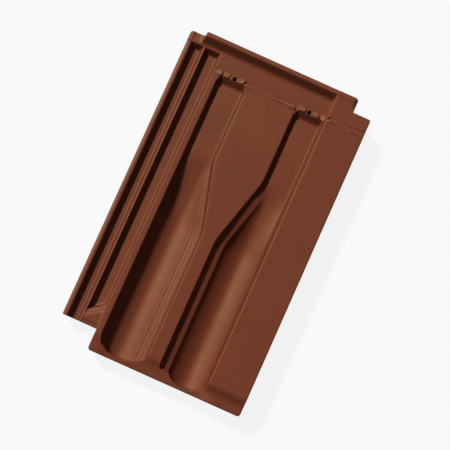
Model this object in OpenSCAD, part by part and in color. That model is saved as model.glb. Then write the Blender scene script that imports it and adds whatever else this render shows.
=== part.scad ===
// Interlocking clay roof tile, pressed and fired as one piece, lying face up.
// Places across the tile run from the lock edge, places along it from the head edge.
// Levels are heights above the face, which is the top of the panel and of its rib.

/* [Overall] */
// Width across the tile, from the lock edge to the cover edge
tile_w = 253; // [245:1:270]
// Length of the tile, from the head edge to the foot edge
tile_l = 425; // [410:1:460]
// Thickness of the fired wall under the face and the troughs
wall = 9.5; // [8:0.5:12]
// Radius of the outer corners of the plan
corner_r = 3; // [1:0.5:4]

/* [Side lock] */
// Width of the rim along the lock edge
rim_w = 6.5; // [5:0.5:8]
// Width of the floor of the outer channel
outer_channel_w = 11.5; // [10:0.5:14]
// Width of the floor of the inner channel
inner_channel_w = 16; // [14:0.5:18]
// Width of the top of the ridge between the channels
ridge_w = 2; // [1:0.5:4]
// Depth of the channels below the lock's rim
channel_depth = 8; // [6:0.5:10]
// How far the lock's rim and ridge lie below the face
lock_drop = 3; // [2:0.5:5]
// Run of the steep channel walls
steep_run = 1.75; // [1:0.25:3]
// Run of the sloping wall of the ridge
ridge_run = 3.75; // [3:0.25:5]
// Run of the wall from the inner channel up to the face
strip_run = 3.25; // [2.5:0.25:6]
// Thickness of the lock under its channels
lock_wall = 8; // [7:0.5:10]
// Length of the closed head end of the channels
lock_head_l = 13; // [8:1:16]

/* [Cover] */
// Width of the top of the cover, which laps the next tile's lock
cover_w = 51.5; // [48:0.5:54]
// Height of the cover above the face
cover_rise = 5.5; // [4:0.5:8]
// Gap between the cover and the next tile's lock
lap_gap = 0.5; // [0.5:0.25:1.5]
// Width of a lap rib at its tip
lap_rib_w = 5; // [4:0.5:7]
// Run of the sloping sides of a lap rib
lap_rib_run = 1.25; // [0.5:0.25:2]
// Gap between the tip of a lap rib and the channel floor
lap_rib_gap = 2.5; // [1.5:0.5:4]

/* [Head] */
// Height of the head rim above the cover
head_rise = 1; // [0.5:0.25:2]
// Width of the top of the head rim
head_rim_w = 5.5; // [4:0.5:8]
// Run of the slope from the head rim to the band
head_run = 11; // [9:0.5:13]
// Width of the band that takes the next tile's foot
band_w = 22; // [18:0.5:26]
// Run of the wall from the band up to the cover
band_run = 7; // [6:0.5:9]
// Size of the corner left out on the cover side, across and along
cover_corner = [24, 18.5]; // [15:0.5:30]
// Size of the step at the lock side of the head, across and along
lock_corner = [19.5, 5]; // [4:0.5:22]

/* [Panel and troughs] */
// Width of the strip between the lock and the first trough
strip_w = 8; // [6:0.5:10]
// Width of the panel at the head
panel_w = 65.5; // [56:0.5:70]
// Width of the rib that the panel narrows to
rib_w = 17; // [12:0.5:22]
// Where the panel starts to narrow
taper_start = 145; // [130:1:160]
// Where the rib reaches its own width
taper_end = 236; // [220:1:260]
// Depth of the flat upper trough floors below the face
floor_depth = 7.5; // [6:0.5:9]
// Depth of the lower trough floors below the face, beside their round hollows
low_floor_depth = 9.5; // [8:0.5:11]
// Depth of the round hollows below the face
trough_depth = 18.5; // [16:0.5:22]
// Width of the shelf between a trough's outer wall and its round hollow, on the lock and cover side
outer_shelf = [4, 1]; // [1:0.5:9]
// Width of the sloping ledge between the round hollow and the rib
rib_ledge = 9.5; // [6:0.5:12]
// Height of the ledge above the lower floor where it meets the rib
ledge_rise = 3.25; // [0.5:0.25:4]
// Run of the outer wall of a trough
outer_run = 2.5; // [2:0.5:4]
// Run of the panel wall of a trough
panel_run = 4; // [3:0.5:6]
// Run of the end wall at the head of a trough
trough_head_run = 6; // [4:0.5:8]

/* [Nail bosses] */
// Diameter of the nail holes
nail_d = 5.5; // [4:0.5:7]
// Width of the raised seat round a nail hole
boss_w = 20; // [16:1:26]
// Height of the seat above the band
boss_rise = 2; // [1:0.25:2.5]
// Distance of the nail holes from the head edge
nail_line = 40.5; // [39:0.5:42]
// Distance of the nail holes from the outer edge of their trough
nail_inset = 21; // [18:0.5:26]

/* [Foot] */
// Length of the corner left out at the foot of the lock
foot_corner_l = 27.5; // [20:0.5:35]
// Length of the rounded nose at the foot
nose_l = 25; // [20:0.5:30]
// Depth of the foot lip below the face, and below the top of the cover
lip_drop = [3.5, 5]; // [2:0.5:7]
// Width of the lip between the foot edge and the troughs
lip_w = 6; // [4:0.5:9]
// Length over which the troughs round off at the foot
round_off_l = 14; // [10:1:20]

/* [Underside] */
// Width of a hanging nib
nib_w = 34; // [26:1:44]
// Thickness of a hanging nib at its foot
nib_foot = 11; // [8:0.5:15]
// Distance from the head edge to the batten face of the nibs
batten_line = 32; // [28:1:36]
// Run of the sloping back of a nib
nib_run = 5.5; // [3:0.5:8]

/* [Hidden] */
$fn = 48;
clay = [0.45, 0.25, 0.17];
// Allowance by which a cut runs past the solid
past = 1;
// Depth at which a hollow is still as good as flat
hair = 0.05;
// Share of the quarter ellipse that rounds off the foot of a trough
blunt = 0.96;
// Steps along a loft where its section changes, and round an arc
loft_steps = 12;
arc_steps = 14;

// Levels above the floor that the tile lies on
face_z = trough_depth + wall;
rim_z = face_z - lock_drop;
channel_z = rim_z - channel_depth;
cover_z = face_z + cover_rise;
head_z = cover_z + head_rise;
plate_z = face_z - floor_depth - wall;
lock_z = channel_z - lock_wall;
lap_z = rim_z + lap_gap;

// Places across the tile
outer_x = rim_w + steep_run;
ridge_x = outer_x + outer_channel_w + ridge_run;
inner_x = ridge_x + ridge_w + steep_run;
lock_w = inner_x + inner_channel_w + strip_run;
lap_x = tile_w - lock_w;
left_x = lock_w + strip_w;
right_x = tile_w - cover_w - cover_run();
panel_x = (left_x + right_x) / 2;
nail_x = [left_x + nail_inset, right_x - nail_inset];

// Places along the tile
band_start = head_rim_w + head_run;
band_end = band_start + band_w;
trough_end = tile_l - lip_w;
back_end = tile_l - past;

// Run of the cover's wall above the face, at the slope of the outer trough wall
function cover_run() = outer_run * cover_rise / floor_depth;

// A point of a section across the tile, and of one along it
function across(x, z) = [x - tile_w / 2, z];
function along(d, z) = [tile_l / 2 - d, z];

// A section across the tile, carried along it between two places
module carry_along(d0, d1, points)
    translate([0, tile_l / 2 - d0, 0])
        rotate([90, 0, 0])
            linear_extrude(d1 - d0)
                polygon([for (p = points) across(p.x, p.y)]);

// A section along the tile, carried across it between two places
module carry_across(x0, x1, points)
    translate([x0 - tile_w / 2, 0, 0])
        rotate([90, 0, 90])
            linear_extrude(x1 - x0)
                polygon([for (p = points) along(p.x, p.y)]);

// A plan outline, carried up between two levels
module carry_up(z0, z1, points)
    translate([0, 0, z0])
        linear_extrude(z1 - z0)
            polygon([for (p = points) [p.x - tile_w / 2, tile_l / 2 - p.y]]);

// A skin through equal sections, each a list of x and z at its own place along the tile
module loft(places, sections) {
    count = len(sections[0]);
    last = len(sections) - 1;
    points = [for (i = [0 : last]) for (p = sections[i])
        [p.x - tile_w / 2, tile_l / 2 - places[i], p.y]];
    sides = [for (i = [0 : last - 1]) for (j = [0 : count - 1])
        let (a = i * count + j, b = i * count + (j + 1) % count)
        each [[a, b + count, b], [a, a + count, b + count]]];
    head_cap = [for (j = [0 : count - 1]) j];
    foot_cap = [for (j = [count - 1 : -1 : 0]) last * count + j];
    polyhedron(points, concat(sides, [head_cap, foot_cap]), convexity = 6);
}

function mix(a, b, t) = a + (b - a) * t;
function clamp01(t) = min(max(t, 0), 1);
function smooth(t) = t * t * (3 - 2 * t);

// How far the panel has narrowed, and how far the round trough has sunk, at a place
function taper(d) = clamp01((d - taper_start) / (taper_end - taper_start));
function sunk(d) = sin(90 * taper(d));

// Depth of the trough floors beside the hollow at a place
function floor_at(d) = mix(floor_depth, low_floor_depth, taper(d));

// Half the panel's width at a place
function half_panel(d) = mix(panel_w, rib_w, taper(d)) / 2;

// Share of a trough's width that is left where it rounds off towards its end, and the places there
function round_off(d, end) =
    let (t = blunt * clamp01((d - end + round_off_l) / round_off_l))
    sqrt(1 - t * t);
function end_places(end) = [for (i = [0 : loft_steps]) mix(end - round_off_l, end, i / loft_steps)];

// Points of a circular hollow between two places across a level floor, sunk by the given depth
function hollow(x0, x1, level, depth) =
    let (half = (x1 - x0) / 2, r = arc_radius(half, max(depth, hair)))
    [for (i = [1 : arc_steps - 1])
        let (u = mix(-half, half, i / arc_steps))
        [(x0 + x1) / 2 + u, level + r - depth - sqrt(r * r - u * u)]];

// Radius of an arc of the given half chord and rise
function arc_radius(half, rise) = (half * half + rise * rise) / (2 * rise);

// Places along the tile where the sections of the troughs and of their backs stand
sinking_places = [for (i = [0 : loft_steps]) mix(taper_start, taper_end, i / loft_steps)];
trough_places = concat(
    [band_end + trough_head_run, band_end + 2 * trough_head_run], sinking_places, end_places(trough_end));
back_places = concat(sinking_places, end_places(back_end));

// Section of a trough measured from its outer wall inwards, with its rib or panel on the far side
function trough_section(d, outer_wall, panel_wall, shelf) =
    let (t = taper(d), top = cover_rise + past, level = -floor_at(d),
         panel_foot = panel_wall - panel_run,
         ledge_foot = panel_foot - max(rib_ledge * t, past),
         wall_foot = outer_wall + outer_run,
         shelf_end = wall_foot + max(shelf * t, past))
    concat(
        [[outer_wall - outer_run * top / floor_depth, top],
         [wall_foot, level],
         [shelf_end, level]],
        hollow(shelf_end, ledge_foot, level, (trough_depth - low_floor_depth) * sunk(d)),
        [[ledge_foot, level],
         [panel_foot, level + ledge_rise * t],
         [panel_wall + panel_run * top / floor_depth, top]]);

// Places of one trough across the tile, from the lock edge (side 0) or the cover edge (side 1)
function outer_wall(side) = side == 0 ? left_x : tile_w - right_x;
function rib_middle(side) = side == 0 ? panel_x : tile_w - panel_x;

// What is drawn from the lock edge, or turned over to be drawn from the cover edge
module from_edge(side)
    mirror([side, 0, 0])
        children();

// Hollow of one trough, lofted from its end wall at the head to its rounded end at the foot
module trough_cut(side)
    let (rib = rib_middle(side), centre = (outer_wall(side) + rib - rib_w / 2) / 2)
    from_edge(side)
        loft(trough_places, [for (i = [0 : len(trough_places) - 1])
            let (d = trough_places[i],
                 floor_section = trough_section(d, outer_wall(side), rib - half_panel(d), outer_shelf[side]),
                 is_end = i == 0 || i == len(trough_places) - 1,
                 lift = face_z + (is_end ? floor_depth + trough_depth * sunk(d) : 0))
            [for (p = floor_section) [mix(centre, p.x, round_off(d, trough_end)), p.y + lift]]]);

// Round back of one trough, which comes out of the plate and bears on the floor
module trough_back(side) {
    hollow_start = outer_wall(side) + outer_run + outer_shelf[side];
    hollow_end = rib_middle(side) - rib_w / 2 - panel_run - rib_ledge;
    centre = (hollow_start + hollow_end) / 2;
    r = arc_radius((hollow_end - hollow_start) / 2, trough_depth - low_floor_depth) + wall;
    fall = plate_z + past;
    reach = sqrt(r * r - (r - fall) * (r - fall));
    from_edge(side)
        loft(back_places, [for (d = back_places)
            let (low = fall * (1 - sunk(d)))
            [for (p = concat(
                [[-reach, fall + past]],
                [for (i = [0 : arc_steps])
                    let (u = mix(-reach, reach, i / arc_steps))
                    [u, min(low + r - sqrt(r * r - u * u), fall)]],
                [[reach, fall + past]]))
                [centre + p.x * round_off(d, back_end), p.y]]]);
}

// Plan outline of the whole tile, with the corners that the neighbours' laps leave out
module outline(z0, z1)
    carry_up(z0, z1, [
        [lock_corner.x, 0], [tile_w - cover_corner.x, 0],
        [tile_w - cover_corner.x, cover_corner.y], [tile_w, cover_corner.y],
        [tile_w, tile_l], [lock_w, tile_l],
        [lock_w, tile_l - foot_corner_l], [0, tile_l - foot_corner_l],
        [0, lock_corner.y], [lock_corner.x, lock_corner.y]]);

// Rounding of one outer corner of the plan, which lies the given way along both axes from the tile
module corner_cut(x, d, way)
    translate([x - tile_w / 2 - way.x * corner_r, tile_l / 2 - d - way.y * corner_r, -past])
        difference() {
            linear_extrude(head_z + 2 * past)
                polygon([[0, 0], [way.x * (corner_r + past), 0],
                    [way.x * (corner_r + past), way.y * (corner_r + past)], [0, way.y * (corner_r + past)]]);
            cylinder(r = corner_r, h = head_z + 2 * past);
        }

// Section of the lock, face and cover, which runs the length of the tile
module body()
    carry_along(0, tile_l, [
        [0, lock_z], [0, rim_z], [rim_w, rim_z], [outer_x, channel_z],
        [outer_x + outer_channel_w, channel_z], [ridge_x, rim_z],
        [ridge_x + ridge_w, rim_z], [inner_x, channel_z],
        [inner_x + inner_channel_w, channel_z], [lock_w, face_z],
        [right_x, face_z], [right_x + cover_run(), cover_z],
        [tile_w, cover_z], [tile_w, plate_z], [lock_w, plate_z], [lock_w - past, lock_z]]);

// Closed head end of the two channels, sloping down to their floors
module lock_head()
    let (start = lock_corner.y + lock_head_l)
    carry_across(0, lock_w, [
        [0, lock_z], [0, rim_z], [start, rim_z],
        [start + channel_depth, channel_z], [start + channel_depth, lock_z]]);

// Closed foot end of the inner channel, slanted so that water runs off to the outer one
module lock_foot()
    let (foot = tile_l - foot_corner_l, slant = inner_channel_w)
    carry_up(lock_z, rim_z, [
        [ridge_x, foot], [ridge_x, foot - slant], [inner_x + inner_channel_w, foot - 2 * slant],
        [lock_w, foot - 2 * slant], [lock_w, foot]]);

// Hollow of the head above the band, up to the cover's own wall
module band_cut()
    carry_along(-past, band_end, [
        [-past, rim_z], [right_x - band_run / 2, rim_z], [right_x + band_run / 2, cover_z],
        [right_x + band_run / 2, head_z + past], [-past, head_z + past]]);

// Raised rim of the head and its slope down to the band
module head_rim()
    carry_across(lock_corner.x, tile_w - cover_corner.x, [
        [0, plate_z], [0, head_z], [head_rim_w, head_z], [band_start, rim_z], [band_start, plate_z]]);

// Hollow under the cover, with the two ribs that hang in the next tile's channels
module lap_cut() {
    tip = channel_z + lap_rib_gap;
    ribs = [lap_x + outer_x + outer_channel_w / 2, lap_x + inner_x + inner_channel_w / 2];
    carry_along(-past, tile_l - foot_corner_l, concat(
        [[lap_x - lap_gap, -past], [lap_x - lap_gap, lap_z]],
        [for (x = ribs) each [
            [x - lap_rib_w / 2 - lap_rib_run, lap_z], [x - lap_rib_w / 2, tip],
            [x + lap_rib_w / 2, tip], [x + lap_rib_w / 2 + lap_rib_run, lap_z]]],
        [[tile_w + past, lap_z], [tile_w + past, -past]]));
}

// Rounding of the foot from a level down to its lip, between two places across
module nose_cut(x0, x1, level, drop)
    let (start = tile_l - nose_l)
    carry_across(x0, x1, concat(
        [[start, level + past]],
        [for (i = [0 : loft_steps])
            let (t = i / loft_steps)
            [start + nose_l * t, level - drop * smooth(t)]],
        [[tile_l + past, level - drop], [tile_l + past, level + past]]));

// One hanging nib, with a flat face towards the foot that bears on the batten
module nib(x)
    carry_across(x - nib_w / 2, x + nib_w / 2, [
        [batten_line, plate_z + past], [batten_line, 0], [batten_line - nib_foot, 0],
        [batten_line - nib_foot - nib_run, plate_z + past]]);

// Seat round a nail hole, standing on the band above the head of a trough
module nail_boss(x)
    let (half = boss_w / 2, edge = half + boss_rise)
    carry_along(band_end - boss_rise, band_end + trough_head_run, [
        [x - edge, plate_z], [x - edge, rim_z], [x - half, rim_z + boss_rise],
        [x + half, rim_z + boss_rise], [x + edge, rim_z], [x + edge, plate_z]]);

module nail_hole(x)
    translate([x - tile_w / 2, tile_l / 2 - nail_line, -past])
        cylinder(d = nail_d, h = head_z + 2 * past);

module roof_tile()
    color(clay)
        difference() {
            intersection() {
                union() {
                    difference() {
                        union() {
                            body();
                            trough_back(0);
                            trough_back(1);
                        }
                        band_cut();
                        trough_cut(0);
                        trough_cut(1);
                        nose_cut(-past, right_x + cover_run(), face_z, lip_drop[0]);
                        nose_cut(right_x + cover_run(), tile_w + past, cover_z, lip_drop[1]);
                    }
                    lock_head();
                    lock_foot();
                    head_rim();
                    for (x = nail_x) {
                        nail_boss(x);
                        nib(x);
                    }
                }
                outline(0, head_z);
            }
            lap_cut();
            for (x = nail_x)
                nail_hole(x);
            corner_cut(0, lock_corner.y, [-1, 1]);
            corner_cut(lock_corner.x, 0, [-1, 1]);
            corner_cut(tile_w - cover_corner.x, 0, [1, 1]);
            corner_cut(tile_w, cover_corner.y, [1, 1]);
            corner_cut(tile_w, tile_l, [1, -1]);
            corner_cut(lock_w, tile_l, [-1, -1]);
            corner_cut(0, tile_l - foot_corner_l, [-1, -1]);
        }

roof_tile();
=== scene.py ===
"""Dresses the packed clay roof tile, which lies face up on a pale floor and is seen from above.

Places on the tile are in millimetres: across it from the lock edge, along it from the head edge,
and levels above the floor that it lies on.
"""

import logging
import math
from collections.abc import Sequence
from dataclasses import dataclass, field
from enum import Enum
from typing import Any, NamedTuple

import bpy
import numpy as np
from mathutils import Matrix, Vector


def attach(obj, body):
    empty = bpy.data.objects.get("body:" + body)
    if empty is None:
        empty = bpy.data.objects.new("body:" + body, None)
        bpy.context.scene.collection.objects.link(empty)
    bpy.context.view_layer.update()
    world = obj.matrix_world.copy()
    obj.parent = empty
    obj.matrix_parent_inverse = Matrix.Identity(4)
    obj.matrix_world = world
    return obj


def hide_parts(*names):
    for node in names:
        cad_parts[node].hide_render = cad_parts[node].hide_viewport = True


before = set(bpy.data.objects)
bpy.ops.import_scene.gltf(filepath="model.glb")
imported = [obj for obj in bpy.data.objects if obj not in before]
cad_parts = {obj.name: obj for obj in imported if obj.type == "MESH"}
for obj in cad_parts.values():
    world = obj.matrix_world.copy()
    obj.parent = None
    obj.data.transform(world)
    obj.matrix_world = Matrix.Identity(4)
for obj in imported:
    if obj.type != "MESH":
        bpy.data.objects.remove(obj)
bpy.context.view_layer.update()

LOG = logging.getLogger("roof_tile")
MM = 0.001
WHITE = (1.0, 1.0, 1.0, 1.0)
EDGE_STEPS = (0.0, 0.15, 0.45, 0.9, 1.6)

Array = np.ndarray


def hinge(offset: Array, radius: float | Array) -> Array:
    """A bend that is 0 before its corner and rises one for one after it.

    Within the radius of the corner it is the square of offset plus radius, over four radii.

    Args:
        offset: Distance past the corner.
        radius: Half the length over which the corner is rounded, one for all offsets or one for each.

    Returns:
        The height of the bend at each offset.
    """
    rounded = (offset + radius) ** 2 / (4.0 * radius)
    return np.where(offset >= radius, offset, np.where(offset <= -radius, 0.0, rounded))


def lower_of(first: Array, second: Array, radius: float) -> Array:
    """The lower of two surfaces, rounded where they cross.

    Args:
        first: Heights of one surface.
        second: Heights of the other surface.
        radius: Height difference within which the crossing is rounded.

    Returns:
        The heights of the joined surface.
    """
    return second - hinge(second - first, radius)


def upper_of(first: Array, second: Array, radius: float) -> Array:
    """The upper of two surfaces, rounded where they cross.

    Args:
        first: Heights of one surface.
        second: Heights of the other surface.
        radius: Height difference within which the crossing is rounded.

    Returns:
        The heights of the joined surface.
    """
    return second + hinge(first - second, radius)


def ease(share: Array) -> Array:
    """A smooth step from 0 to 1: three times the square less twice the cube of the clamped share.

    Args:
        share: Position within the step.

    Returns:
        The eased share.
    """
    inside = np.clip(share, 0.0, 1.0)
    return inside * inside * (3.0 - 2.0 * inside)


def plateau(place: Array, start: float, end: float, run: float) -> Array:
    """A flat top of height 1 between two places, with an eased flank outside each of them.

    Args:
        place: Where the plateau is measured.
        start: Where the top begins.
        end: Where the top ends.
        run: Length of each flank.

    Returns:
        The height of the plateau.
    """
    return ease((place - start) / run + 1.0) * ease((end - place) / run + 1.0)


def mix(first: Any, second: Any, share: Any) -> Any:
    """A blend of two values.

    Args:
        first: Value at share 0.
        second: Value at share 1.
        share: Position between them.

    Returns:
        The blended value.
    """
    return first + (second - first) * share


class Corner(NamedTuple):
    """A corner of a bent line: its place, its level, and the radius over which it is rounded."""

    place: Any
    level: Any
    radius: float = 1.0


def bent_line(place: Array, corners: Sequence[Corner]) -> Array:
    """Heights of a line through corners: its first slope carried on, plus a hinge for each change of slope.

    Args:
        place: Where the line is measured.
        corners: Corners in order; the first and last only give the end slopes.

    Returns:
        The height of the line at each place.
    """
    slope = (corners[1].level - corners[0].level) / (corners[1].place - corners[0].place)
    height = corners[0].level + slope * (place - corners[0].place)
    for corner, following in zip(corners[1:], corners[2:]):
        turned = (following.level - corner.level) / (following.place - corner.place)
        height = height + (turned - slope) * hinge(place - corner.place, corner.radius)
        slope = turned
    return height


class Slope(NamedTuple):
    """A slope on a skin: where it starts, how steep it is, and the radius over which it begins."""

    start: float
    rate: float
    radius: float

    def after(self, place: Array) -> Array:
        """Height of the slope that runs on after its start, 0 before it."""
        return self.rate * hinge(place - self.start, self.radius)

    def before(self, place: Array) -> Array:
        """Height of the slope that runs back from its start, 0 after it."""
        return self.rate * hinge(self.start - place, self.radius)


class Step(NamedTuple):
    """An eased step: where it starts, its run, which is negative for a step that runs back, and its rise."""

    start: float
    run: float
    rise: float = 1.0

    def at(self, place: Array) -> Array:
        """Height of the step at a place, from 0 to its rise."""
        return self.rise * ease((place - self.start) / self.run)


class Bowl(NamedTuple):
    """One half of a hollow's section: how blunt its hyperbola is, and the part that a parabola has in it."""

    blunt: float
    rounding: float

    def at(self, share: Array) -> Array:
        """Share of the hollow's depth, 0 at its bottom and 1 where the distance from there is 1."""
        crease = (np.hypot(share, self.blunt) - self.blunt) / (math.hypot(1.0, self.blunt) - self.blunt)
        return mix(crease, share**2, self.rounding)


class Side(Enum):
    """The two long sides of the tile."""

    LOCK = 0
    COVER = 1


@dataclass(frozen=True)
class TileSizes:
    """Places and levels that the skins of the tile share.

    They follow the CAD, but the hollows are deeper, the face and the troughs settle towards the band, and the
    panel stands half a millimetre nearer to the cover. Pairs of the troughs give the lock side first.
    """

    width: float = 253.0
    length: float = 425.0
    wall: float = 9.5

    face: float = 28.0
    rim: float = 25.0
    channel: float = 17.0
    cover: float = 33.5
    head: float = 34.5
    lips: tuple[float, float] = (24.5, 28.5)
    floor: float = 20.5
    low_floors: tuple[float, float] = (17.2, 18.5)
    plate: float = 11.0
    lock_back: float = 9.0
    lap: float = 25.5

    strip: float = 46.5
    trough_wall: float = 55.2
    trough_foot: float = 57.7
    cover_foot: float = 197.17
    cover_edge: float = 201.5
    panel: float = 127.6
    panel_half: float = 33.25
    rib_half: float = 9.0
    panel_runs: tuple[float, float] = (4.0, 2.8)
    shelves: tuple[float, float] = (4.0, -1.0)
    ledges: tuple[float, float] = (11.8, 10.2)
    ledge_rises: tuple[float, float] = (4.4, 3.25)
    sags: tuple[float, float] = (9.3, 13.5)
    bottoms: tuple[float, float] = (83.7, 174.5)
    ledge_growths: tuple[float, float] = (1.0, 0.3)
    hollow_gap: float = 1.0

    taper_start: float = 145.0
    taper_end: float = 236.0
    taper_round: float = 7.0
    settle: float = 2.8
    settling: Step = Step(40.0, 70.0)
    arc_middles: tuple[float, float] = (86.0, 176.0)
    arc_ends: tuple[float, float] = (418.5, 419.0)
    arc_shoulders: tuple[float, float] = (405.0, 410.0)
    lock_arc: tuple[float, float] = (0.00045, 0.0105)
    cover_arc: tuple[float, float] = (0.00057, 0.00073)
    band_end: float = 38.0
    nail_line: float = 40.5
    nail_places: tuple[float, float] = (75.5, 178.67)
    nail_radius: float = 2.75

    lock_corner: tuple[float, float] = (19.5, 5.0)
    cover_corner: tuple[float, float] = (229.0, 18.5)
    foot_corner: tuple[float, float] = (46.5, 397.5)

    def taper(self, along: Array) -> Array:
        """How far the panel has narrowed: a ramp from 0 to 1 with rounded ends.

        Args:
            along: Distance from the head edge.

        Returns:
            The share of the narrowing.
        """
        begun = hinge(along - self.taper_start, self.taper_round)
        ended = hinge(along - self.taper_end, self.taper_round)
        return (begun - ended) / (self.taper_end - self.taper_start)

    def sunk(self, along: Array) -> Array:
        """Share of its full depth to which a hollow has sunk: a quarter sine of the taper."""
        return np.sin(0.5 * math.pi * self.taper(along))

    def settled(self, along: Array) -> Array:
        """Drop of the face and the troughs towards the band, into which they run: an eased step."""
        return self.settle * (1.0 - self.settling.at(along))

    def foot_arc(self, across: Array) -> Array:
        """Distance from the head edge at which the troughs end: two arcs that bulge to the foot.

        Each arc is a cubic, but a parabola towards the rib on the lock side.

        Args:
            across: Distance from the lock edge.

        Returns:
            The place of the end wall's foot.
        """
        lock, cover = (across - middle for middle in self.arc_middles)
        cubic, square = self.lock_arc
        outer, inner = self.cover_arc
        lock_side = self.arc_ends[0] - np.where(lock < 0.0, -cubic * lock**3, square * lock**2)
        cover_side = self.arc_ends[1] - np.where(cover < 0.0, -outer, inner) * cover**3
        shoulder = np.where(across < self.panel, *self.arc_shoulders)
        return np.maximum(np.maximum(lock_side, cover_side), shoulder)

    def panel_foot(self, share: Array) -> Array:
        """Distance from the panel's middle to the foot of its walls, by how far it has narrowed."""
        return mix(self.panel_half + self.panel_runs[0], self.rib_half + self.panel_runs[1], share)

    def ledge_share(self, side: Side, share: Array) -> Array:
        """Share of a ledge's full width and rise, by how far the panel has narrowed: a ramp."""
        return np.minimum(share / self.ledge_growths[side.value], 1.0)

    def hollow_span(self, side: Side, share: Array) -> tuple[Array, Array]:
        """Where the round hollow of a trough starts and ends across the tile.

        Args:
            side: The trough's side of the tile.
            share: How far the panel has narrowed.

        Returns:
            The places of its end at the lock and of its end at the cover.
        """
        shelf = mix(self.hollow_gap, self.shelves[side.value], share)
        ledge = mix(self.hollow_gap, self.ledges[side.value], self.ledge_share(side, share))
        reach = self.panel_foot(share) + ledge
        if side is Side.LOCK:
            return self.trough_foot + shelf, self.panel - reach
        return self.panel + reach, self.cover_foot - shelf


class Line(NamedTuple):
    """A line of the plan grid: its place where the panel is wide and narrow, and the cells before it."""

    wide: float
    narrow: float
    cells: int


def fixed(place: float, cells: int) -> Line:
    """A line that stays in one place.

    Args:
        place: Its place.
        cells: Cells between it and the line before.

    Returns:
        The line.
    """
    return Line(place, place, cells)


def edge_lines(edge: float, inward: int) -> list[Line]:
    """Lines that crowd towards an edge, for its rounding.

    Args:
        edge: Place of the edge.
        inward: 1 where the tile lies after the edge, -1 where it lies before.

    Returns:
        The lines in rising order, with the edge itself.
    """
    places = [edge + inward * step for step in EDGE_STEPS]
    return [fixed(place, 1) for place in sorted(places)]


def spread(places: Sequence[float], cells: Sequence[int]) -> Array:
    """Stations spread evenly over the cells between lines.

    Args:
        places: Places of the lines.
        cells: Cells before each line; the first is not used.

    Returns:
        The stations.
    """
    spans = zip(places, places[1:], cells[1:])
    parts = [np.linspace(start, end, count, endpoint=False) for start, end, count in spans]
    return np.concatenate([*parts, [places[-1]]])


class RoundCorner(NamedTuple):
    """An outer corner of the plan: its place, the way into the tile on both axes, and its radius."""

    across: float
    along: float
    inward: tuple[int, int]
    radius: float


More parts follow.
